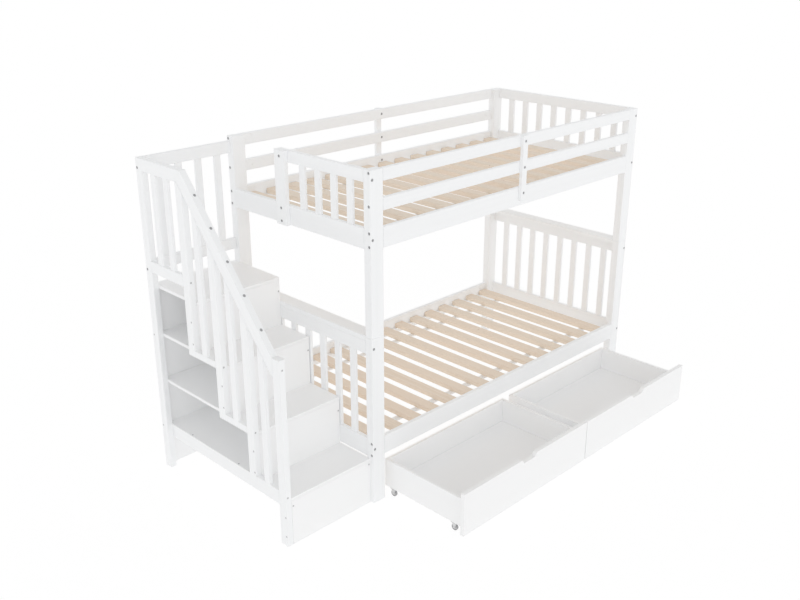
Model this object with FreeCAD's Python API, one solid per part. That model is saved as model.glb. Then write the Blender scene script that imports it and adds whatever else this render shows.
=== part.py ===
import FreeCAD, Part
import math
import os

os.makedirs("parts", exist_ok=True)

# Bed coordinates in mm: X along the bed from the left posts, Y from the front face to the back,
# Z up from the floor. Everything is moved at the end so that the origin is the base centre.
bed_length = 2000.0
bed_width = 990.0
post_x = 73.0
post_y = 43.0
seam_height = 835.0
top_height = 1583.0
board = 22.0                 # thickness of rails, guard boards, caps and drawer fronts
panel = 15.0                 # thickness of treads, risers, stair panels and drawer walls
edge_round = 2.5
slat_round = 2.0
panel_round = 1.5
post_round = 3.0

rail_height = 92.0
lower_rail_z = 239.0
guard_reach = 345.0          # posts' tops above the lower edge of the upper rails
guard_height = 55.0
head_rail_height = 64.0
cap_rise = 4.0               # cap top above the seam

end_slat_width = 37.0
end_slat_thick = 14.0
end_slat_setback = 3.0       # behind the rail's outer face
end_slat_pitch = 103.5
end_slat_count = 8
guard_slat_count = 4
entry_post_y = 532.0
entry_post_width = 72.0
batten_width = 37.0
batten_thick = 18.0
batten_foot_rise = 29.0      # above the lower edge of the upper rails

bed_slat_count = 15
bed_slat_width = 63.0
bed_slat_thick = 25.0
bed_slat_round = 5.0
bed_slat_drop = 37.5         # rail top down to slat top
bed_slat_play = 2.0
ledger_height = 28.0
ledger_thick = 20.0
strap_width = 30.0
strap_thick = 10.0
strap_inset = 160.0

# Fasteners
bolt_head_r = 6.5
bolt_head_thick = 5.0
bolt_sink = 6.0
bolt_r = 3.0
bolt_fit = 0.3
bolt_reach = 62.0            # into the rail
bolt_hole_spare = 4.0
nut_reach = 50.0
nut_r = 5.0
nut_below = 7.0              # nut depth outwards from the bolt's axis
nut_sink = 1.0               # nut end below the rail's inner face
upper_bolts = (15.0, 75.0)   # up from the rail's lower edge
lower_bolts = (12.0, 72.0)
guard_bolt_top = 13.0        # down from the guard's upper edge
end_guard_bolt = 14.0        # up from the end guard's lower edge
back_guard_bolt = 11.0
entry_bolts = (18.0, 79.0)
batten_rail_bolt = 65.0
board_bolt_length = 40.0
batten_bolt_length = 38.0
socket_flats = 5.0
socket_depth = 3.0
pin_r = 6.0
pin_half = 40.0
screw_head_r = 4.5
screw_head_thick = 2.5
screw_r = 2.0
riser_screw_low = 47.0
riser_screw_top = 74.0       # down from the riser's upper edge
riser_screw = 60.0
rail_screw = 75.0
panel_screw = 30.0
panel_screw_top = 55.0
first_screw_top = 14.0
apron_screw = 40.0
tread_screw_y = (782.0, 412.0)
handrail_bolt_count = 5
handrail_bolt_spare = 4.0
cut_over = 1.0               # how far a hole's tool runs past a face

# Stairs: the outer face lies left of the bed
stair_width = 491.5
stair_frame = 30.0           # thickness of posts and handrail along X
stair_post = 47.0            # width of posts along Y
stair_rail_thick = 22.0
step_front = 22.5
step_run = 205.0
step_rise = 242.0
step_first = 233.0
step_count = 4
stair_top_drop = 24.0        # stair's top rail below the bed posts' tops
stair_top_rail = 57.0
stair_low_rail_rise = 70.0   # above the top tread
stair_low_rail = 54.0
step_rail = 32.0
first_rail = 48.0            # the step rail in the lowest bay
apron = 55.0                 # rail under the first tread's outer edge
apron_thick = 17.0
back_rail_drop = 3.0         # the back guard's lower rail below the side one
handrail_width = 61.0
newel_drop = 1.0             # newel top below the handrail's top edge there
baluster_width = 37.0
baluster_thick = 18.0
back_slat_width = 35.0
back_slat_pitch = 106.0
back_slat_count = 4
back_panel_foot = 6.0

# Drawers, pulled out as in the photograph
drawer_gap = 10.5            # to the posts
drawer_between = 6.0
drawer_front_y = -481.0
drawer_front_z = 15.0
drawer_front_height = 214.0
drawer_inset = 23.5
drawer_back_y = 34.0
drawer_wall_z = 38.0
drawer_wall_height = 144.0
drawer_bottom_z = 50.0
drawer_bottom_thick = 6.0
drawer_groove = 5.0
groove_fit = 0.3
notch_top = 112.0
notch_floor = 80.0
notch_depth = 20.0

# Drawer wheels
wheel_r = 16.0
wheel_width = 11.0
axle_r = 2.5
axle_fit = 0.05
cheek = 1.6
cheek_gap = 0.7
plate_length = 40.0
cheek_half = 12.0
cheek_foot_half = 6.0
cheek_foot_z = 11.0
axle_head_extra = 1.5
wheel_front_y = -404.0
wheel_back_y = -20.0

vector = FreeCAD.Vector
axis_x = vector(1, 0, 0)
axis_y = vector(0, 1, 0)
axis_z = vector(0, 0, 1)

pieces = {}
holes = {}


def box(low, high):
    size = vector(*high) - vector(*low)
    return Part.makeBox(size.x, size.y, size.z, vector(*low))


def rounded(solid, radius, along=None):
    edges = []
    for edge in solid.Edges:
        line = edge.tangentAt(edge.FirstParameter)
        if along is None or abs(line.dot(along)) > 0.999:
            edges.append(edge)
    return solid.makeFillet(radius, edges)


def rounded_upright(solid, x, y, radius):
    """Round only the upright edge that stands at x and y."""
    foot = vector(x, y, 0)
    edges = []
    for edge in solid.Edges:
        middle = edge.CenterOfMass
        if (vector(middle.x, middle.y, 0) - foot).Length < radius:
            edges.append(edge)
    return solid.makeFillet(radius, edges)


def place(node, solid):
    pieces.setdefault(node, []).append(solid)
    return node, len(pieces[node]) - 1


def plank(node, low, high, along, radius=edge_round):
    return place(node, rounded(box(low, high), radius, along))


def drill(ref, tool):
    holes.setdefault(ref, []).append(tool)


def rod(start, way, length, radius):
    return Part.makeCylinder(radius, length, start, way)


def hex_socket(start, way):
    corner = socket_flats / math.sqrt(3)
    side = axis_z if abs(way.z) < 0.5 else axis_x
    third = way.cross(side)
    ring = []
    for step in range(7):
        angle = math.radians(60 * step)
        ring.append(start + side * (corner * math.cos(angle)) + third * (corner * math.sin(angle)))
    return Part.Face(Part.makePolygon(ring)).extrude(way * socket_depth)


def make_bolt(node, face, way, length):
    seat = face + way * bolt_sink
    head = rod(seat - way * bolt_head_thick, way, bolt_head_thick, bolt_head_r)
    shank = rod(seat, way, length - bolt_sink, bolt_r)
    solid = head.fuse(shank).removeSplitter()
    solid = solid.cut(hex_socket(seat - way * bolt_head_thick, way))
    place(node, solid)


def bolt_joint(post, rail, face, way, through, nut_way):
    """Bolt through a post into the end of a rail, held by a barrel nut."""
    length = through + bolt_reach
    make_bolt("frame_bolts", face, way, length)
    drill(post, rod(face, way, bolt_sink, bolt_head_r + bolt_fit))
    drill(post, rod(face, way, through + cut_over, bolt_r + bolt_fit))
    drill(rail, rod(face + way * (through - cut_over), way, bolt_reach + bolt_hole_spare, bolt_r + bolt_fit))
    centre = face + way * (through + nut_reach)
    low = centre - nut_way * nut_below
    nut = rod(low, nut_way, nut_below + board / 2 - nut_sink, nut_r)
    nut = nut.cut(rod(centre - way * (2 * nut_r), way, 4 * nut_r, bolt_r + bolt_fit))
    place("barrel_nuts", nut)
    drill(rail, rod(low, nut_way, board, nut_r + bolt_fit))


def through_bolt(front, back, face, way, length):
    """Bolt through one board into the one behind it."""
    make_bolt("frame_bolts", face, way, length)
    for ref in (front, back):
        drill(ref, rod(face, way, length + cut_over, bolt_r + bolt_fit))
    drill(front, rod(face, way, bolt_sink, bolt_head_r + bolt_fit))


def screw(refs, face, way, length):
    seat = face + way * screw_head_thick
    head = rod(face, way, screw_head_thick, screw_head_r)
    place("wood_screws", head.fuse(rod(seat, way, length - screw_head_thick, screw_r)).removeSplitter())
    drill(refs[0], rod(face, way, screw_head_thick, screw_head_r + bolt_fit))
    for ref in refs:
        drill(ref, rod(face, way, length + cut_over, screw_r + bolt_fit))


# ---------------------------------------------------------------- posts
post_names = {}
for side, x_low in (("left", 0.0), ("right", bed_length - post_x)):
    for depth, y_low in (("front", 0.0), ("back", bed_width - post_y)):
        centre = vector(x_low + post_x / 2, y_low + post_y / 2, 0)
        for level, z_low, z_high in (("lower", 0.0, seam_height), ("upper", seam_height, top_height)):
            low = (x_low, y_low, z_low)
            high = (x_low + post_x, y_low + post_y, z_high)
            ref = place(level + "_post_" + depth + "_" + side, rounded(box(low, high), post_round))
            post_names[level, depth, side] = ref
            pin_low = centre + axis_z * (seam_height - pin_half)
            drill(ref, rod(pin_low, axis_z, 2 * pin_half, pin_r + bolt_fit))
        place("post_pins", rod(centre + axis_z * (seam_height - pin_half), axis_z, 2 * pin_half, pin_r))

inner_left = post_x
inner_right = bed_length - post_x
inner_front = post_y
inner_back = bed_width - post_y

# ---------------------------------------------------------------- long rails and guard boards
upper_rail_z = top_height - guard_reach
guard_top_z = top_height - guard_height
guard_middle_z = (upper_rail_z + rail_height + guard_top_z - guard_height) / 2
long_bolts = {
    "guard_top": (guard_top_z, guard_height, (guard_height - guard_bolt_top,)),
    "guard_middle": (guard_middle_z, guard_height, (guard_height / 2,)),
    "upper_rail": (upper_rail_z, rail_height, upper_bolts),
    "lower_rail": (lower_rail_z, rail_height, lower_bolts),
}
long_refs = {}
for name, (z_low, height, bolt_levels) in long_bolts.items():
    level = "lower" if name == "lower_rail" else "upper"
    for depth, y_low, inward in (("front", 0.0, axis_y), ("back", bed_width - board, axis_y * -1)):
        ref = plank(
            depth + "_" + name,
            (inner_left, y_low, z_low),
            (inner_right, y_low + board, z_low + height),
            axis_x,
        )
        long_refs[depth, name] = ref
        for offset in bolt_levels:
            y = y_low + board / 2
            z = z_low + offset
            bolt_joint(post_names[level, depth, "left"], ref, vector(0, y, z), axis_x, post_x, inward)
            bolt_joint(
                post_names[level, depth, "right"], ref, vector(bed_length, y, z), axis_x * -1, post_x, inward
            )


# ---------------------------------------------------------------- end rails
def end_rail(node, side, z_low, height, bolt_offset, level, entry=False):
    x_low = 0.0 if side == "left" else bed_length - board
    bolt_z = z_low + bolt_offset
    inward = axis_x if side == "left" else axis_x * -1
    y_high = entry_post_y + entry_post_width if entry else inner_back
    low = (x_low, inner_front, z_low)
    ref = plank(node, low, (x_low + board, y_high, z_low + height), axis_y)
    x = x_low + board / 2
    front_face = vector(x, 0, bolt_z)
    bolt_joint(post_names[level, "front", side], ref, front_face, axis_y, post_y, inward)
    if not entry:
        back_face = vector(x, bed_width, bolt_z)
        bolt_joint(post_names[level, "back", side], ref, back_face, axis_y * -1, post_y, inward)
    return ref


def end_slats(node, side, z_low, z_high, count):
    x_mid = end_slat_thick / 2 + end_slat_setback
    if side == "right":
        x_mid = bed_length - x_mid
    first = bed_width / 2 - end_slat_pitch * (end_slat_count - 1) / 2
    for step in range(count):
        y = first + step * end_slat_pitch
        low = (x_mid - end_slat_thick / 2, y - end_slat_width / 2, z_low)
        high = (x_mid + end_slat_thick / 2, y + end_slat_width / 2, z_high)
        plank(node, low, high, axis_z, slat_round)


cap_z = seam_height + cap_rise - board
head_rail_z = cap_z - head_rail_height
lower_slat_z = lower_rail_z + rail_height
upper_slat_z = upper_rail_z + rail_height
end_refs = {}
for side in ("left", "right"):
    x_low = 0.0 if side == "left" else bed_length - post_x
    rail_bolt = rail_height / 2
    end_rail("lower_end_rail_" + side, side, lower_rail_z, rail_height, rail_bolt, "lower")
    end_rail("head_rails", side, head_rail_z, head_rail_height, head_rail_height / 2, "lower")
    cap_low = (x_low, inner_front, cap_z)
    plank("end_caps", cap_low, (x_low + post_x, inner_back, cap_z + board), axis_y)
    end_slats("lower_end_slats", side, lower_slat_z, head_rail_z, end_slat_count)
    upper_name = "upper_end_rail_" + side
    end_refs[side] = end_rail(upper_name, side, upper_rail_z, rail_height, rail_bolt, "upper")
end_rail("end_guard_rails", "right", guard_top_z, guard_height, end_guard_bolt, "upper")
entry_rail = end_rail(
    "end_guard_rails", "left", guard_top_z, guard_height, end_guard_bolt, "upper", entry=True
)
end_slats("upper_end_slats", "right", upper_slat_z, guard_top_z, end_slat_count)
end_slats("upper_end_slats", "left", upper_slat_z, guard_top_z, guard_slat_count)

# ---------------------------------------------------------------- entry post and battens
entry_post = plank(
    "entry_post",
    (-board, entry_post_y, upper_rail_z),
    (0, entry_post_y + entry_post_width, top_height),
    axis_z,
)
entry_y = entry_post_y + entry_post_width / 2
entry_face = vector(-board, entry_y, guard_top_z + guard_height / 2)
through_bolt(entry_post, entry_rail, entry_face, axis_x, board_bolt_length)
for offset in entry_bolts:
    entry_face = vector(-board, entry_y, upper_rail_z + offset)
    through_bolt(entry_post, end_refs["left"], entry_face, axis_x, board_bolt_length)

batten_low_x = (bed_length - batten_width) / 2
batten_bolts = {
    "guard_top": guard_top_z + guard_height / 2,
    "guard_middle": guard_middle_z + guard_height / 2,
    "upper_rail": upper_rail_z + batten_rail_bolt,
}
for depth, y_low in (("front", -batten_thick), ("back", bed_width)):
    low = (batten_low_x, y_low, upper_rail_z + batten_foot_rise)
    high = (batten_low_x + batten_width, y_low + batten_thick, top_height)
    batten = plank("guard_battens", low, high, axis_z)
    for name, z in batten_bolts.items():
        rail = long_refs[depth, name]
        if depth == "front":
            face = vector(bed_length / 2, y_low, z)
            through_bolt(batten, rail, face, axis_y, batten_bolt_length)
        else:
            face = vector(bed_length / 2, bed_width - board, z)
            through_bolt(rail, batten, face, axis_y, batten_bolt_length)


# ---------------------------------------------------------------- slatted bases
def slatted_base(level, rail_top):
    slat_top = rail_top - bed_slat_drop
    slat_low = slat_top - bed_slat_thick
    y_front = board + bed_slat_play
    y_back = bed_width - y_front
    pitch = (inner_right - inner_left - bed_slat_width) / (bed_slat_count - 1)
    for step in range(bed_slat_count):
        x = inner_left + step * pitch
        low = (x, y_front, slat_low)
        plank(level + "_bed_slats", low, (x + bed_slat_width, y_back, slat_top), axis_y, bed_slat_round)
    for y_low in (board, bed_width - board - ledger_thick):
        low = (inner_left, y_low, slat_low - ledger_height)
        plank("slat_ledgers", low, (inner_right, y_low + ledger_thick, slat_low), axis_x)
    for y_low in (board + strap_inset - strap_width, bed_width - board - strap_inset):
        low = (inner_left, y_low, slat_low - strap_thick)
        plank("slat_straps", low, (inner_right, y_low + strap_width, slat_low), axis_x)


slatted_base("lower", lower_rail_z + rail_height)
slatted_base("upper", upper_rail_z + rail_height)

# ---------------------------------------------------------------- stairs: treads, risers and panels
stair_x = -stair_width
frame_in = stair_x + stair_frame
rail_in = stair_x + stair_rail_thick
stair_refs = {}
tread_z = [step_first + step_rise * step for step in range(step_count)]
riser_y = [step_front + step_run * step for step in range(step_count)]
floor_z = 0.0
for step in range(step_count):
    z_low = floor_z
    z_high = tread_z[step] - panel
    y_low = riser_y[step]
    tread_low = (frame_in, y_low, z_high)
    tread_high = (0, bed_width, tread_z[step])
    stair_refs["tread", step] = plank("stair_treads", tread_low, tread_high, axis_x, slat_round)
    riser = place("stair_risers", box((frame_in, y_low, z_low), (-panel, y_low + panel, z_high)))
    stair_refs["riser", step] = riser
    side_panel = box((-panel, y_low, z_low), (0, bed_width, z_high))
    side = place("stair_side_panels", rounded_upright(side_panel, 0, y_low, panel_round))
    back_low = (frame_in, bed_width - panel, max(z_low, back_panel_foot))
    place("stair_back_panels", box(back_low, (-panel, bed_width, z_high)))
    strip_z = z_high - (first_screw_top if step == 0 else panel_screw_top)
    screw((side,), vector(-panel / 2, y_low, strip_z), axis_y, panel_screw)
    floor_z = tread_z[step]
apron_top = tread_z[0] - panel
apron_ref = plank(
    "step_rails",
    (frame_in, step_front + panel, apron_top - apron),
    (frame_in + apron_thick, bed_width - panel, apron_top),
    axis_y,
    slat_round,
)
apron_x = frame_in + apron_thick / 2
face = vector(apron_x, step_front, apron_top - apron / 2)
screw((stair_refs["riser", 0], apron_ref), face, axis_y, apron_screw)
for y in tread_screw_y:
    face = vector(apron_x, y, step_first)
    screw((stair_refs["tread", 0], apron_ref), face, axis_z * -1, apron_screw)

# ---------------------------------------------------------------- stairs: posts, handrail and rails
slope = math.atan2(step_rise, step_run)
newel_back = step_front + stair_post
rise_per_mm = math.tan(slope)
handrail_drop = handrail_width / math.cos(slope)
guard_post_y = riser_y[3]
guard_post_back = guard_post_y + stair_post
leg_y = bed_width - stair_post
stair_top = top_height - stair_top_drop
stair_low_rail_z = tread_z[3] + stair_low_rail_rise
top_rail_foot = stair_top - stair_top_rail


def handrail_top(y):
    """Height of the handrail's top edge, which meets the level rail over the guard post's front face."""
    return stair_top + rise_per_mm * (y - guard_post_y)


def handrail_foot(y):
    return handrail_top(y) - handrail_drop


newel_top = handrail_top(newel_back)
mitre_foot_y = guard_post_y + (handrail_drop - stair_top_rail) / rise_per_mm


def side_plate(points, x_low, x_high):
    """Flat outline in Y and Z, given depth along X."""
    ring = [vector(x_low, y, z) for y, z in points]
    return Part.Face(Part.makePolygon(ring + ring[:1])).extrude(vector(x_high - x_low, 0, 0))


handrail = side_plate(
    [
        (newel_back, handrail_foot(newel_back)),
        (newel_back, handrail_top(newel_back)),
        (guard_post_y, stair_top),
        (mitre_foot_y, top_rail_foot),
    ],
    stair_x,
    frame_in,
)
handrail_way = vector(0, math.cos(slope), math.sin(slope))
handrail_ref = place("handrail", rounded(handrail, edge_round, handrail_way))
top_rail = side_plate(
    [(mitre_foot_y, top_rail_foot), (guard_post_y, stair_top), (leg_y, stair_top), (leg_y, top_rail_foot)],
    stair_x,
    frame_in,
)
top_rail_ref = place("stair_top_rail", rounded(top_rail, edge_round, axis_y))

leg = plank("stair_leg", (stair_x, leg_y, 0), (frame_in, bed_width, stair_top), axis_z)
newel_low = (stair_x, step_front, 0)
newel = plank("stair_newel", newel_low, (frame_in, newel_back, newel_top - newel_drop), axis_z)


def under_rails(y):
    return min(handrail_foot(y), top_rail_foot)


def sloped_post(node, y_low, y_high, z_foot, x_low, x_high):
    """Upright whose top follows the underside of the handrail, or of the level rail behind it."""
    points = [(y_low, z_foot), (y_low, under_rails(y_low))]
    if y_low < mitre_foot_y < y_high:
        points.append((mitre_foot_y, top_rail_foot))
    points += [(y_high, under_rails(y_high)), (y_high, z_foot)]
    return place(node, rounded(side_plate(points, x_low, x_high), slat_round, axis_z))


post_feet = (tread_z[2] - panel, tread_z[1] - panel, tread_z[0] - panel)
posts = []
for foot, y_low in zip(post_feet, (riser_y[3], riser_y[2], riser_y[1])):
    posts.append(sloped_post("stair_posts", y_low, y_low + stair_post, foot, stair_x, frame_in))
upper_post, middle_post, lower_post = posts

step_rails = []
for foot, height, y_low, y_high in (
    (post_feet[0], step_rail, riser_y[2] + stair_post, riser_y[3]),
    (post_feet[1], step_rail, riser_y[1] + stair_post, riser_y[2]),
    (post_feet[2], first_rail, newel_back, riser_y[1]),
):
    low = (stair_x, y_low, foot)
    step_rails.append(plank("step_rails", low, (rail_in, y_high, foot + height), axis_y, slat_round))
    middle = (y_low + y_high) / 2
    sloped_post(
        "stair_balusters",
        middle - baluster_width / 2,
        middle + baluster_width / 2,
        foot + height,
        stair_x,
        stair_x + baluster_thick,
    )

low_rail_top = stair_low_rail_z + stair_low_rail
guard_low = (stair_x, guard_post_back, stair_low_rail_z)
side_low_rail = plank("stair_guard_rails", guard_low, (rail_in, leg_y, low_rail_top), axis_y)
slat_room = (leg_y - guard_post_back - 2 * baluster_width) / 3
slat_x = stair_x + end_slat_setback
for step in range(2):
    y = guard_post_back + slat_room + step * (baluster_width + slat_room)
    sloped_post("stair_guard_slats", y, y + baluster_width, low_rail_top, slat_x, slat_x + end_slat_thick)

back_y = bed_width - board
back_rails = []
back_low_z = stair_low_rail_z - back_rail_drop
for z_low, height in ((top_rail_foot, stair_top_rail), (back_low_z, stair_low_rail)):
    low = (frame_in, back_y, z_low)
    back_rails.append(plank("stair_guard_rails", low, (0, bed_width, z_low + height), axis_x))
back_slat_y = bed_width - board / 2 - end_slat_thick / 2
first = frame_in / 2 - back_slat_pitch * (back_slat_count - 1) / 2
for step in range(back_slat_count):
    x = first + step * back_slat_pitch
    low = (x - back_slat_width / 2, back_slat_y, back_low_z + stair_low_rail)
    high = (x + back_slat_width / 2, back_slat_y + end_slat_thick, top_rail_foot)
    plank("stair_guard_slats", low, high, axis_z, slat_round)

# ---------------------------------------------------------------- stairs: bolts and screws
for rail, z in zip(back_rails, (top_rail_foot + back_guard_bolt, back_low_z + back_guard_bolt)):
    y = bed_width - board / 2
    bolt_joint(leg, rail, vector(stair_x, y, z), axis_x, stair_frame, axis_y * -1)
    back_post = post_names["upper", "back", "left"]
    bolt_joint(back_post, rail, vector(post_x, y, z), axis_x * -1, post_x, axis_y * -1)
for step in (0, 2):
    middle_z = tread_z[step] - panel / 2
    face = vector(stair_x, bed_width - board / 2, middle_z)
    screw((leg, stair_refs["tread", step]), face, axis_x, riser_screw)
for step, upright in enumerate((newel, lower_post, middle_post, upper_post)):
    low = 0.0 if step == 0 else tread_z[step - 1]
    high = tread_z[step] - panel
    for z in (low + riser_screw_low, high - riser_screw_top):
        face = vector(stair_x, riser_y[step] + panel / 2, z)
        screw((upright, stair_refs["riser", step]), face, axis_x, riser_screw)
rail_mid = stair_x + stair_rail_thick / 2
face = vector(rail_mid, riser_y[2], post_feet[0] + step_rail / 2)
screw((middle_post, step_rails[0]), face, axis_y, rail_screw)
face = vector(rail_mid, riser_y[1], post_feet[1] + step_rail / 2)
screw((lower_post, step_rails[1]), face, axis_y, rail_screw)
face = vector(rail_mid, step_front, post_feet[2] + first_rail / 2)
screw((newel, step_rails[2]), face, axis_y, rail_screw)
face = vector(stair_x + stair_frame / 2, step_front, newel_top - handrail_drop / 2)
screw((newel, handrail_ref), face, axis_y, rail_screw)
face = vector(rail_mid, guard_post_y, stair_low_rail_z + stair_low_rail / 2)
screw((upper_post, side_low_rail), face, axis_y, rail_screw)
handrail_down = vector(0, math.sin(slope), -math.cos(slope))
for step in range(handrail_bolt_count):
    y = newel_back + (step + 1) * step_run / 2 - stair_post / 2
    face = vector(stair_x + stair_frame / 2, y, handrail_top(y))
    length = handrail_width - handrail_bolt_spare
    make_bolt("frame_bolts", face, handrail_down, length)
    drill(handrail_ref, rod(face, handrail_down, bolt_sink, bolt_head_r + bolt_fit))
    drill(handrail_ref, rod(face, handrail_down, length + cut_over, bolt_r + bolt_fit))


# ---------------------------------------------------------------- drawers
def notched_front(x_low, x_high):
    z_high = drawer_front_z + drawer_front_height
    middle = (x_low + x_high) / 2
    points = [
        (x_low, drawer_front_z),
        (x_low, z_high),
        (middle - notch_top / 2, z_high),
        (middle - notch_floor / 2, z_high - notch_depth),
        (middle + notch_floor / 2, z_high - notch_depth),
        (middle + notch_top / 2, z_high),
        (x_high, z_high),
        (x_high, drawer_front_z),
    ]
    ring = [vector(x, drawer_front_y, z) for x, z in points]
    solid = Part.Face(Part.makePolygon(ring + ring[:1])).extrude(vector(0, board, 0))
    return rounded(solid, panel_round)


def caster(node, x_mid, y_mid):
    """Fixed caster: a folded plate screwed under the drawer wall, with its axle."""
    outer = wheel_width / 2 + cheek_gap + cheek
    plate_low = drawer_wall_z - cheek
    low = (x_mid - outer, y_mid - plate_length / 2, plate_low)
    shape = box(low, (x_mid + outer, y_mid + plate_length / 2, drawer_wall_z))
    for sign in (-1, 1):
        x_low = x_mid + sign * (outer - cheek / 2) - cheek / 2
        points = [
            (y_mid - cheek_half, plate_low),
            (y_mid + cheek_half, plate_low),
            (y_mid + cheek_foot_half, cheek_foot_z),
            (y_mid - cheek_foot_half, cheek_foot_z),
        ]
        shape = shape.fuse(side_plate(points, x_low, x_low + cheek))
    shape = shape.removeSplitter()
    start = vector(x_mid - outer, y_mid, wheel_r)
    shape = shape.cut(rod(start - axis_x * cut_over, axis_x, 2 * (outer + cut_over), axle_r + axle_fit))
    place(node, shape)
    stub = axle_r + axle_head_extra
    axle = rod(start - axis_x * cheek, axis_x, cheek, stub)
    axle = axle.fuse(rod(start, axis_x, 2 * outer, axle_r))
    axle = axle.fuse(rod(start + axis_x * (2 * outer), axis_x, cheek, stub)).removeSplitter()
    place(node, axle)


def wheel(node, x_mid, y_mid):
    start = vector(x_mid - wheel_width / 2, y_mid, wheel_r)
    solid = rounded(rod(start, axis_x, wheel_width, wheel_r), panel_round)
    bore = rod(start - axis_x * cut_over, axis_x, wheel_width + 2 * cut_over, axle_r + axle_fit)
    place(node, solid.cut(bore))


def drawer(name, x_low, x_high):
    front = place(name + "_front", notched_front(x_low, x_high))
    box_left = x_low + drawer_inset
    box_right = x_high - drawer_inset
    front_back = drawer_front_y + board
    wall_top = drawer_wall_z + drawer_wall_height
    walls = name + "_box"
    groove_top = drawer_bottom_z + drawer_bottom_thick + groove_fit
    bottom_low = (box_left + panel - drawer_groove, front_back, drawer_bottom_z)
    bottom_high = (
        box_right - panel + drawer_groove,
        drawer_back_y - panel + drawer_groove,
        drawer_bottom_z + drawer_bottom_thick,
    )
    slot = box(
        (bottom_low[0] - groove_fit, front_back, drawer_bottom_z),
        (bottom_high[0] + groove_fit, bottom_high[1] + groove_fit, groove_top),
    )
    for x_wall in (box_left, box_right - panel):
        wall = box((x_wall, front_back, drawer_wall_z), (x_wall + panel, drawer_back_y, wall_top))
        ref = place(walls, rounded(wall, panel_round, axis_y))
        drill(ref, slot)
        x_head = x_wall + panel / 2
        for y_mid in (wheel_front_y, wheel_back_y):
            caster(name + "_casters", x_head, y_mid)
    back_low = (box_left + panel, drawer_back_y - panel, drawer_wall_z)
    back = box(back_low, (box_right - panel, drawer_back_y, wall_top))
    ref = place(walls, rounded(back, panel_round, axis_x))
    drill(ref, slot)
    place(name + "_bottom", box(bottom_low, bottom_high))
    for x_wall in (box_left, box_right - panel):
        wheel(name + "_front_wheels", x_wall + panel / 2, wheel_front_y)
        wheel(name + "_back_wheels", x_wall + panel / 2, wheel_back_y)


drawer_left = inner_left + drawer_gap
drawer_right = inner_right - drawer_gap
drawer_mid = (drawer_left + drawer_right) / 2
drawer("drawer_left", drawer_left, drawer_mid - drawer_between / 2)
drawer("drawer_right", drawer_mid + drawer_between / 2, drawer_right)

# ---------------------------------------------------------------- holes, origin and export
for (node, index), tools in holes.items():
    shape = pieces[node][index].cut(tools)
    pieces[node][index] = max(shape.Solids, key=lambda solid: solid.Volume)

x_mid = (bed_length - stair_width) / 2
y_mid = (bed_width + batten_thick + drawer_front_y) / 2
shift = vector(-x_mid, -y_mid, 0)
for node, solids in pieces.items():
    moved = [solid.translated(shift) for solid in solids]
    whole = moved[0] if len(moved) == 1 else Part.makeCompound(moved)
    whole.exportStep("parts/" + node + ".step")
print(len(pieces), "nodes", sum(len(solids) for solids in pieces.values()), "solids")
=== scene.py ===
import math

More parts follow.
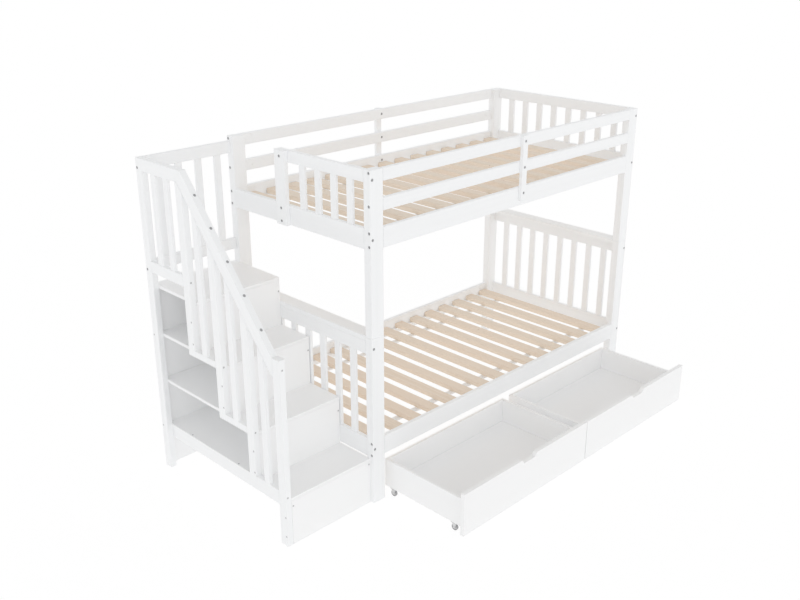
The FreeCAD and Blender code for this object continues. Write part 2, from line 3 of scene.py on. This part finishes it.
import bpy
import numpy as np
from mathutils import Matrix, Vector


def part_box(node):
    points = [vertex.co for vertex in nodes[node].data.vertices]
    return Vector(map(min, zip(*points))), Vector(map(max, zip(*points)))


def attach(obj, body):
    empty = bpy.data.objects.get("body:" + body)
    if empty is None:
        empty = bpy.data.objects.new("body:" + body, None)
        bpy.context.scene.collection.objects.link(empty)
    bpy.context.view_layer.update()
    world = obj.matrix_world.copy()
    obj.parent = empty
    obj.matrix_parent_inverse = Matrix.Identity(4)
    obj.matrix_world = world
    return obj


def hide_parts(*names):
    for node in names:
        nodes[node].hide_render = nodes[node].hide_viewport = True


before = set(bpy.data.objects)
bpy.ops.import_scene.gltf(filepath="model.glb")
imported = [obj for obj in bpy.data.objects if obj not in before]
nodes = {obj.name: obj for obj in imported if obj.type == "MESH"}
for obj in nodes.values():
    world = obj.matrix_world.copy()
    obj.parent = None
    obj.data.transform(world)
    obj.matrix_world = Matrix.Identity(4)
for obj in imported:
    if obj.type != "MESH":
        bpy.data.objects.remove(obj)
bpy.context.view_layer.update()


class Wire:
    # One output of a shader node. Arithmetic on it adds Math nodes, make() adds any other node.

    def __init__(self, tree, socket=None):
        self.tree = tree
        self.socket = socket

    def make(self, kind, settings=None, inputs=None, out=0):
        # out is the number or the name of the output that is used next
        node = self.tree.nodes.new("ShaderNode" + kind)
        for name, value in (settings or {}).items():
            setattr(node, name, value)
        for name, value in (inputs or {}).items():
            if isinstance(value, Wire):
                self.tree.links.new(value.socket, node.inputs[name])
            else:
                node.inputs[name].default_value = value
        if not node.outputs:
            return None
        return Wire(self.tree, node.outputs[out])

    def other(self, name):
        # another output of the same node
        return Wire(self.tree, self.socket.node.outputs[name])

    def math(self, operation, first, second=0.0):
        return self.make("Math", {"operation": operation}, {0: first, 1: second})

    def vector(self, operation, first, second, out=0):
        return self.make("VectorMath", {"operation": operation}, {0: first, 1: second}, out)

    def __add__(self, other):
        return self.math("ADD", self, other)

    def __radd__(self, other):
        return self.math("ADD", other, self)

    def __sub__(self, other):
        return self.math("SUBTRACT", self, other)

    def __rsub__(self, other):
        return self.math("SUBTRACT", other, self)

    def __mul__(self, other):
        return self.math("MULTIPLY", self, other)

    def __rmul__(self, other):
        return self.math("MULTIPLY", other, self)

    def __truediv__(self, other):
        return self.math("DIVIDE", self, other)

    def __pow__(self, other):
        return self.math("POWER", self, other)

    def floor(self):
        return self.math("FLOOR", self)

    def fraction(self):
        return self.math("FRACT", self)

    def larger(self, other):
        return self.math("MAXIMUM", self, other)

    def between(self, low, high):
        # 0 below low, 1 above high, smooth in the middle
        inputs = {"Value": self, "From Min": low, "From Max": high}
        return self.make("MapRange", {"interpolation_type": "SMOOTHSTEP"}, inputs)

    def within(self, pair):
        # slides from the first value of the pair to the second
        return pair[0] + (pair[1] - pair[0]) * self

    def noise(self, scale, detail=3.0, rough=0.5):
        # self is the place that the noise is read at
        inputs = {"Vector": self, "Scale": scale, "Detail": detail, "Roughness": rough}
        return self.make("TexNoise", None, inputs)

    def blend(self, first, second):
        # self is how much of the second colour shows; 0, 6, 7 and 2 are the mix's colour sockets
        inputs = {0: self, 6: withAlpha(first), 7: withAlpha(second)}
        return self.make("Mix", {"data_type": "RGBA"}, inputs, 2)

    def apart(self):
        # the X, Y and Z of a place, or the red, green and blue of a colour
        parts = self.make("SeparateXYZ", None, {0: self})
        return [parts.other(name) for name in "XYZ"]

    def together(self, x, y, z):
        return self.make("CombineXYZ", None, {0: x, 1: y, 2: z})


def withAlpha(colour):
    if isinstance(colour, Wire):
        return colour
    return (*colour, 1.0)


def startMaterial(name):
    material = bpy.data.materials.new(name)
    material.use_nodes = True
    material.node_tree.nodes.clear()
    wire = Wire(material.node_tree)
    return material, wire.make("TexCoord", None, None, "Object")


def finishMaterial(wire, colour, roughness, height, lift, constants=None, edge=None):
    # height is in units of lift, a length in metres; edge is a normal that rounds sharp corners
    bump = {"Height": height, "Distance": lift, "Strength": 1.0}
    if edge is not None:
        bump["Normal"] = edge
    inputs = {"Base Color": colour, "Roughness": roughness, "Normal": wire.make("Bump", None, bump)}
    inputs.update(constants or {})
    shader = wire.make("BsdfPrincipled", None, inputs)
    wire.make("OutputMaterial", None, {"Surface": shader})


def softCorner(wire, radius):
    # the normal as if every corner were rounded off by the radius, and how near a corner is, 0 to 1
    rounded = wire.make("Bevel", {"samples": 4}, {"Radius": radius})
    flat = wire.make("NewGeometry", None, None, "Normal")
    return rounded, 1.0 - rounded.vector("DOT_PRODUCT", rounded, flat, "Value")


def rubbedCorner(place, look):
    # the rounded normal, and how thin the paint is on a corner that knocks have reached in spots
    edge, near = softCorner(place, look["corner"])
    spots = place.noise(look["spots"], 3.0).between(*look["spotted"])
    return edge, near.between(*look["reach"]) * spots * look["rub"]


def alongBoard(place, way, stretch):
    # the place with its distance along the board shrunk, so that a pattern runs long with the grain
    run = place.vector("DOT_PRODUCT", place, way, "Value")
    x, y, z = (run * (-axis * (1.0 - 1.0 / stretch)) for axis in way)
    return place.vector("ADD", place, place.together(x, y, z))


paintedWoodLook = {
    "white": (0.948, 0.956, 0.963),
    "shade": (0.908, 0.916, 0.923),     # where the grain shows through the paint
    "rubbed": (0.84, 0.825, 0.80),      # thin paint on a knocked corner
    "patches": 2.4,                     # broad tone changes per metre
    "figure": 38.0,                     # growth rings per metre across the board
    "fibre": 520.0,                     # fine lines per metre across the board
    "peel": 700.0,                      # sprayed orange peel per metre
    "stretch": 34.0,
    "gloss": (0.30, 0.44),
    "lift": 0.00009,
    "corner": 0.0022,
    "reach": (0.03, 0.3),               # how near a corner the paint begins to thin, and is thinnest
    "spots": 85.0,
    "spotted": (0.5, 0.72),
    "rub": 0.5,
}


def paintedWood(name, way):
    look = paintedWoodLook
    material, place = startMaterial(name)
    grain = alongBoard(place, way, look["stretch"])
    patches = place.noise(look["patches"], 2.0)
    figure = grain.noise(look["figure"], 3.0, 0.55).between(0.36, 0.66)
    fibre = grain.noise(look["fibre"], 2.0)
    peel = place.noise(look["peel"], 1.0)
    edge, rubbed = rubbedCorner(place, look)
    depth = 0.34 * patches + 0.3 * figure + 0.16 * fibre
    colour = rubbed.blend(depth.blend(look["white"], look["shade"]), look["rubbed"])
    roughness = (0.5 * patches + 0.5 * fibre).within(look["gloss"])
    height = 0.45 * figure + 0.3 * fibre + 0.5 * peel
    finishMaterial(place, colour, roughness, height, look["lift"], {"IOR": 1.48}, edge)
    return material


paintedBoardLook = {
    "white": (0.958, 0.96, 0.962),
    "shade": (0.928, 0.93, 0.932),
    "rubbed": (0.80, 0.765, 0.71),      # fibreboard showing on a knocked corner
    "patches": 1.8,
    "cloud": 14.0,
    "peel": 560.0,
    "gloss": (0.34, 0.48),
    "lift": 0.00006,
    "corner": 0.0016,
    "reach": (0.06, 0.4),
    "spots": 70.0,
    "spotted": (0.52, 0.74),
    "rub": 0.45,
}


def paintedBoard(name):
    look = paintedBoardLook
    material, place = startMaterial(name)
    patches = place.noise(look["patches"], 2.0)
    cloud = place.noise(look["cloud"], 4.0, 0.6)
    peel = place.noise(look["peel"], 2.0)
    edge, rubbed = rubbedCorner(place, look)
    depth = 0.45 * patches + 0.4 * cloud
    colour = rubbed.blend(depth.blend(look["white"], look["shade"]), look["rubbed"])
    roughness = (0.6 * cloud + 0.4 * peel).within(look["gloss"])
    height = 0.7 * peel + 0.3 * cloud
    finishMaterial(place, colour, roughness, height, look["lift"], {"IOR": 1.48}, edge)
    return material


pineLook = {
    "early": (0.90, 0.80, 0.69),        # pale wood between the rings
    "late": (0.80, 0.675, 0.54),
    "warm": (0.87, 0.73, 0.60),         # the tint of the redder slats
    "knot": (0.60, 0.44, 0.31),
    "ring": 0.0052,                     # width of one year's growth
    "heartAcross": 0.11,                # how far across the slats the tree's middle is scattered
    "heartDepth": (0.022, 0.07),        # nearest and farthest it lies below a slat
    "slatLevel": 0.29,                  # height of both beds' slats above a whole metre
    "sway": 0.011,                      # how far the rings wander along a slat
    "wander": (5.0, 1.5),               # how fast, across and along
    "bow": 1.3,
    "ringShift": 3.1,                   # each slat reads its own stretch of the pattern
    "knots": 3.1,                       # places for a knot per metre
    "knotShift": 0.83,
    "knotSize": (0.0022, 0.0058),
    "bend": (0.034, 0.006),             # how far round a knot the rings bend, and by how much
    "fibre": 900.0,
    "streak": 120.0,
    "stretch": 50.0,                    # length of a fibre as a multiple of its width
    "gloss": (0.52, 0.68),
    "lift": 0.00014,
    "corner": 0.001,
    "upperFirst": 40.0,                 # number of the upper bed's first slat
}


def planedPine(name, slatStart, slatPitch):
    # Slats lie along Y. Each draws its own rings, knots and tint from its number counted along X.
    look = pineLook
    material, place = startMaterial(name)
    x, y, z = place.apart()
    level = z.floor()
    count = (x - slatStart) / slatPitch
    slat = count.floor() + look["upperFirst"] * level
    chance = place.make("TexWhiteNoise", {"noise_dimensions": "1D"}, {"W": slat}, "Color")
    first, second, third = chance.apart()
    across = count.fraction() * slatPitch
    deep = z - level

    spot = place.together(across + look["knotShift"] * slat, y, 0.0)
    inputs = {"Vector": spot, "Scale": look["knots"]}
    cell = place.make("TexVoronoi", {"voronoi_dimensions": "2D"}, inputs)
    away = cell / look["knots"]
    cellChance = cell.other("Color").apart()[0]
    size = cellChance.within(look["knotSize"])
    knot = (1.0 - (away / size).between(0.75, 1.1)) * cellChance.between(0.6, 0.65)
    bendReach, bendSize = look["bend"]
    shoved = (1.0 - (away / bendReach).between(0.0, 1.0)) * bendSize

    fast, slow = look["wander"]
    drift = place.together(across * fast, y * slow + look["ringShift"] * slat, deep * fast)
    sway = (drift.noise(look["bow"], 2.0) - 0.5) * (2.0 * look["sway"])
    sideways = across + (first - 0.5) * look["heartAcross"] + sway
    down = deep - look["slatLevel"] + second.within(look["heartDepth"]) + 0.6 * sway
    radius = (sideways * sideways + down * down) ** 0.5 + shoved
    ring = (radius / look["ring"]).fraction()
    late = ring.between(0.15, 0.95) * (1.0 - ring.between(0.95, 1.0))

    long = place.together(across, y / look["stretch"], deep)
    fibre = long.noise(look["fibre"], 2.0, 0.6)
    streak = long.noise(look["streak"], 3.0, 0.6).between(0.3, 0.75)
    colour = (0.5 * late + 0.22 * streak + 0.16 * fibre).blend(look["early"], look["late"])
    colour = (0.55 * third).blend(colour, look["warm"])
    colour = (0.65 * knot).blend(colour, look["knot"])
    roughness = (0.5 * fibre + 0.5 * late).within(look["gloss"])
    height = 0.5 * fibre + 0.35 * late - 0.5 * knot
    edge, _ = softCorner(place, look["corner"])
    finishMaterial(place, colour, roughness, height, look["lift"], {"IOR": 1.45}, edge)
    return material


beechLook = {
    "pale": (0.66, 0.47, 0.31),
    "dark": (0.52, 0.34, 0.20),
    "fleck": 260.0,
    "band": 60.0,
    "stretch": 9.0,
    "gloss": (0.5, 0.7),
    "lift": 0.0001,
}


def turnedBeech(name, way):
    look = beechLook
    material, place = startMaterial(name)
    grain = alongBoard(place, way, look["stretch"])
    fleck = grain.noise(look["fleck"], 3.0, 0.6)
    band = grain.noise(look["band"], 2.0)
    colour = (0.6 * fleck.between(0.35, 0.65) + 0.35 * band).blend(look["pale"], look["dark"])
    roughness = fleck.within(look["gloss"])
    finishMaterial(place, colour, roughness, fleck, look["lift"], {"IOR": 1.45})
    return material


boltLook = {
    "face": (0.43, 0.432, 0.44),
    "worn": (0.58, 0.58, 0.585),
    "scratch": 900.0,
    "tarnish": 160.0,
    "gloss": (0.3, 0.5),
    "lift": 0.00004,
}
screwLook = {
    "face": (0.58, 0.582, 0.588),
    "worn": (0.72, 0.72, 0.722),
    "scratch": 1100.0,
    "tarnish": 210.0,
    "gloss": (0.28, 0.46),
    "lift": 0.00004,
}
casterLook = {
    "face": (0.68, 0.682, 0.686),
    "worn": (0.80, 0.80, 0.802),
    "scratch": 600.0,
    "tarnish": 90.0,
    "gloss": (0.32, 0.52),
    "lift": 0.00005,
}
steel = {"corner": 0.0006, "metallic": 0.85}    # the same for all three


def platedSteel(name, look):
    material, place = startMaterial(name)
    scratch = place.noise(look["scratch"], 3.0, 0.7)
    tarnish = place.noise(look["tarnish"], 2.0)
    edge, near = softCorner(place, steel["corner"])
    bright = near.between(0.05, 0.4) * 0.6 + 0.25 * tarnish
    colour = bright.blend(look["face"], look["worn"])
    roughness = (0.5 * scratch + 0.5 * tarnish).within(look["gloss"])
    finishMaterial(place, colour, roughness, scratch, look["lift"], {"Metallic": steel["metallic"]}, edge)
    return material


tyreLook = {
    "dark": (0.36, 0.36, 0.365),
    "pale": (0.44, 0.44, 0.445),
    "gloss": (0.5, 0.7),
    "lift": 0.00005,
}
hubLook = {
    "dark": (0.74, 0.742, 0.745),
    "pale": (0.82, 0.822, 0.825),
    "gloss": (0.35, 0.5),
    "lift": 0.00003,
}
plastic = {"speckle": 1500.0, "cloud": 140.0}   # the same for tyre and hub


def mouldedPlastic(name, look):
    material, place = startMaterial(name)
    speckle = place.noise(plastic["speckle"], 2.0, 0.6)
    cloud = place.noise(plastic["cloud"], 2.0)
    colour = (0.5 * speckle + 0.5 * cloud).blend(look["dark"], look["pale"])
    roughness = speckle.within(look["gloss"])
    finishMaterial(place, colour, roughness, speckle, look["lift"], {"IOR": 1.5})
    return material


def slopeOf(node):
    # direction of a rail that rises towards the back, from corner to corner of its box
    low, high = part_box(node)
    run = high.y - low.y
    rise = high.z - low.z
    return (0.0, run / math.hypot(run, rise), rise / math.hypot(run, rise))


acrossX = (1.0, 0.0, 0.0)
acrossY = (0.0, 1.0, 0.0)
upright = (0.0, 0.0, 1.0)

slatLow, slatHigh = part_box("lower_bed_slats")
slatLayout = {"count": 15, "width": 0.063}
slatPitch = (slatHigh.x - slatLow.x - slatLayout["width"]) / (slatLayout["count"] - 1)
slatStart = slatLow.x - (slatPitch - slatLayout["width"]) / 2

longPaint = paintedWood("white paint on long rails", acrossX)
crossPaint = paintedWood("white paint on end rails", acrossY)
uprightPaint = paintedWood("white paint on posts", upright)
handrailPaint = paintedWood("white paint on the handrail", slopeOf("handrail"))
boardPaint = paintedBoard("white paint on fibreboard")
slatPine = planedPine("planed pine slats", slatStart, slatPitch)
pinBeech = turnedBeech("turned beech", upright)
boltSteel = platedSteel("plated bolts", boltLook)
screwZinc = platedSteel("zinc plated screws", screwLook)
casterSteel = platedSteel("pressed caster steel", casterLook)
tyreRubber = mouldedPlastic("tyre rubber", tyreLook)
hubPlastic = mouldedPlastic("hub plastic", hubLook)
print("finishes: paint, fibreboard, pine, beech, steel and moulded wheels")

finishes = {
    longPaint: (
        "front_guard_top", "back_guard_top", "front_guard_middle", "back_guard_middle", "front_upper_rail",
        "back_upper_rail", "front_lower_rail", "back_lower_rail", "slat_ledgers", "slat_straps",
        "stair_guard_rails",
    ),
    crossPaint: (
        "lower_end_rail_left", "lower_end_rail_right", "upper_end_rail_left", "upper_end_rail_right",
        "head_rails", "end_caps", "end_guard_rails", "stair_top_rail", "step_rails",
    ),
    uprightPaint: (
        "lower_post_front_left", "lower_post_front_right", "lower_post_back_left", "lower_post_back_right",
        "upper_post_front_left", "upper_post_front_right", "upper_post_back_left", "upper_post_back_right",
        "lower_end_slats", "upper_end_slats", "entry_post", "guard_battens", "stair_leg", "stair_newel",
        "stair_posts", "stair_balusters", "stair_guard_slats",
    ),
    handrailPaint: ("handrail",),
    boardPaint: (
        "stair_treads", "stair_risers", "stair_side_panels", "stair_back_panels", "drawer_left_front",
        "drawer_right_front", "drawer_left_box", "drawer_right_box", "drawer_left_bottom",
        "drawer_right_bottom", "barrel_nuts",
    ),
    slatPine: ("lower_bed_slats", "upper_bed_slats"),
    pinBeech: ("post_pins",),
    boltSteel: ("frame_bolts",),
    screwZinc: ("wood_screws",),
    casterSteel: ("drawer_left_casters", "drawer_right_casters"),
}
for material, names in finishes.items():
    for name in names:
        mesh = nodes[name].data
        mesh.materials.clear()
        mesh.materials.append(material)
print("finished", sum(len(names) for names in finishes.values()), "parts")

wheelShape = {
    "width": 0.011,
    "hubRadius": 0.0118,                # where the hub meets the tyre
    "bore": 0.0026,
    "hubShare": 0.86,                   # the hub's width as a share of the tyre's
    "squareness": 5.0,                  # 2 is a round section, more is squarer
    "dish": 0.45,                       # how much thinner the hub's web is than its rim
    "groove": (0.0024, 0.0005, 0.0004), # place from the middle, half width and depth
    "around": 64,
    "across": 48,
}


def ringSection(middle, halfWide, halfHigh):
    # A rounded square: each half size times the cosine or sine of t, raised to 2 over the squareness.
    power = 2.0 / wheelShape["squareness"]
    t = np.linspace(0.0, 2.0 * np.pi, wheelShape["across"], endpoint=False)
    wide = halfWide * np.sign(np.cos(t)) * np.abs(np.cos(t)) ** power
    high = halfHigh * np.sign(np.sin(t)) * np.abs(np.sin(t)) ** power
    return wide, middle + high


def spunRing(wide, radius, centre):
    # A section turned about the X axis by the angle a: x = centre + wide,
    # y and z = centre + radius times the sine and cosine of a.
    around = wheelShape["around"]
    a = np.linspace(0.0, 2.0 * np.pi, around, endpoint=False)[:, None]
    x = centre[0] + np.broadcast_to(wide, (around, len(wide)))
    y = centre[1] + radius * np.sin(a)
    z = centre[2] + radius * np.cos(a)
    points = np.stack([x, y, z], -1).reshape(-1, 3)
    i, j = np.meshgrid(np.arange(around), np.arange(len(wide)), indexing="ij")
    nextI = (i + 1) % around
    nextJ = (j + 1) % len(wide)
    corners = [i * len(wide) + j, i * len(wide) + nextJ, nextI * len(wide) + nextJ, nextI * len(wide) + j]
    return points, np.stack(corners, -1).reshape(-1, 4)


def shapeTyre(centre, outer):
    # two fine grooves run round the tread
    middle = (outer + wheelShape["hubRadius"]) / 2
    wide, radius = ringSection(middle, wheelShape["width"] / 2, outer - middle)
    place, halfGroove, depth = wheelShape["groove"]
    cut = np.exp(-(((np.abs(wide) - place) / halfGroove) ** 2)) * (radius > middle)
    return spunRing(wide, radius - depth * cut, centre)


def shapeHub(centre):
    # level is -1 at the bore and 1 at the rim, and the web between them is thinner
    middle = (wheelShape["bore"] + wheelShape["hubRadius"]) / 2
    halfHigh = wheelShape["hubRadius"] - middle
    wide, radius = ringSection(middle, wheelShape["width"] / 2 * wheelShape["hubShare"], halfHigh)
    level = (radius - middle) / halfHigh
    wide = wide * (1.0 - wheelShape["dish"] * (1.0 - level**2))
    return spunRing(wide, radius, centre)


def wheelPair(node):
    low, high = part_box(node)
    outer = (high.z - low.z) / 2
    inset = wheelShape["width"] / 2
    points = []
    faces = []
    finish = []
    for x in (low.x + inset, high.x - inset):
        centre = (x, (low.y + high.y) / 2, (low.z + high.z) / 2)
        for number, (partPoints, partFaces) in enumerate((shapeTyre(centre, outer), shapeHub(centre))):
            faces.append(partFaces + sum(len(part) for part in points))
            points.append(partPoints)
            finish.append(np.full(len(partFaces), number))
    mesh = bpy.data.meshes.new(node + "_shaped")
    mesh.from_pydata(np.concatenate(points), [], np.concatenate(faces).tolist())
    mesh.materials.append(tyreRubber)
    mesh.materials.append(hubPlastic)
    mesh.polygons.foreach_set("material_index", np.concatenate(finish))
    mesh.polygons.foreach_set("use_smooth", np.ones(len(mesh.polygons), bool))
    mesh.update()
    piece = bpy.data.objects.new(node + "_shaped", mesh)
    bpy.context.scene.collection.objects.link(piece)
    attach(piece, node)
    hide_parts(node)


for drawer in ("drawer_left", "drawer_right"):
    for row in ("front", "back"):
        wheelPair(drawer + "_" + row + "_wheels")
print("wheels: tyres and dished hubs")

studio = {
    "floorSize": 60.0,
    "floorTone": (0.80, 0.80, 0.80),
    "mottleTone": (0.7, 0.7, 0.7),
    "mottle": 3.0,                      # faint clouds in the floor per metre
    "mottleShare": 0.06,
    "whiteShare": 0.86,                 # part of the floor that the camera sees as plain white
    "whiteLevel": 1.06,
    "glowShare": 0.5,                   # the floor is a lit table: part of its light that is its own
    "glowLevel": 1.20,
    "horizon": 1.08,                    # brightness of the room's walls
    "zenith": 0.62,                     # and of its ceiling
    "corner": {"strength": 0.22, "turn": -30.0, "height": 30.0, "spread": 60.0},
    "bounces": 12,                      # white boards pass light on many times
}
white = (1.0, 1.0, 1.0, 1.0)


def seenDirect(wire):
    # 1 for what the camera, a mirror or clear glass sees
    camera = wire.make("LightPath", None, None, "Is Camera Ray")
    glossy = camera.other("Is Glossy Ray")
    clear = camera.other("Is Transmission Ray")
    return camera.larger(glossy.larger(clear))


def layFloor():
    half = studio["floorSize"] / 2
    corners = [(-half, -half, 0.0), (half, -half, 0.0), (half, half, 0.0), (-half, half, 0.0)]
    mesh = bpy.data.meshes.new("floor")
    mesh.from_pydata(corners, [], [(0, 1, 2, 3)])
    material, place = startMaterial("pale studio floor")
    mottle = place.noise(studio["mottle"], 3.0) * studio["mottleShare"]
    tone = mottle.blend(studio["floorTone"], studio["mottleTone"])
    plain = place.make("BsdfDiffuse", None, {"Color": tone})
    backdrop = place.make("Emission", None, {"Color": white, "Strength": studio["whiteLevel"]})
    glow = place.make("Emission", None, {"Color": white, "Strength": studio["glowLevel"]})
    seen = seenDirect(place)
    lit = place.make("MixShader", None, {0: (1.0 - seen) * studio["glowShare"], 1: plain, 2: glow})
    mixed = place.make("MixShader", None, {0: seen * studio["whiteShare"], 1: lit, 2: backdrop})
    place.make("OutputMaterial", None, {"Surface": mixed})
    mesh.materials.append(material)
    floor = bpy.data.objects.new("floor", mesh)
    bpy.context.scene.collection.objects.link(floor)


def hangLamp(name, look):
    lamp = bpy.data.lights.new(name, "SUN")
    lamp.energy = look["strength"]
    lamp.angle = math.radians(look["spread"])
    holder = bpy.data.objects.new(name, lamp)
    holder.rotation_euler = (math.radians(90.0 - look["height"]), 0.0, math.radians(look["turn"]))
    bpy.context.scene.collection.objects.link(holder)


def paintRoom():
    world = bpy.data.worlds.new("studio")
    world.use_nodes = True
    world.node_tree.nodes.clear()
    wire = Wire(world.node_tree)
    up = wire.make("TexCoord").apart()[2].between(0.0, 1.0)
    seen = seenDirect(wire)
    strength = seen + (1.0 - seen) * up.within((studio["horizon"], studio["zenith"]))
    room = wire.make("Background", None, {"Color": white, "Strength": strength})
    wire.make("OutputWorld", None, {"Surface": room})
    bpy.context.scene.world = world


layFloor()
hangLamp("corner", studio["corner"])
paintRoom()
bpy.context.scene.cycles.diffuse_bounces = studio["bounces"]
print("studio: floor, one soft lamp and a white room")

view = {
    "place": (-3.3457, -3.0236, 2.5149),
    "turn": -45.03,
    "down": 21.55,
    "lens": 42.89,
    "sensor": 36.0,
    "farthest": 200.0,
}
lens = bpy.data.cameras.new("view")
lens.lens = view["lens"]
lens.sensor_width = view["sensor"]
lens.clip_end = view["farthest"]
camera = bpy.data.objects.new("view", lens)
camera.location = view["place"]
camera.rotation_euler = (math.radians(90.0 - view["down"]), 0.0, math.radians(view["turn"]))
bpy.context.scene.collection.objects.link(camera)
bpy.context.scene.camera = camera
bpy.context.scene.view_settings.view_transform = "Standard"
print("camera set")
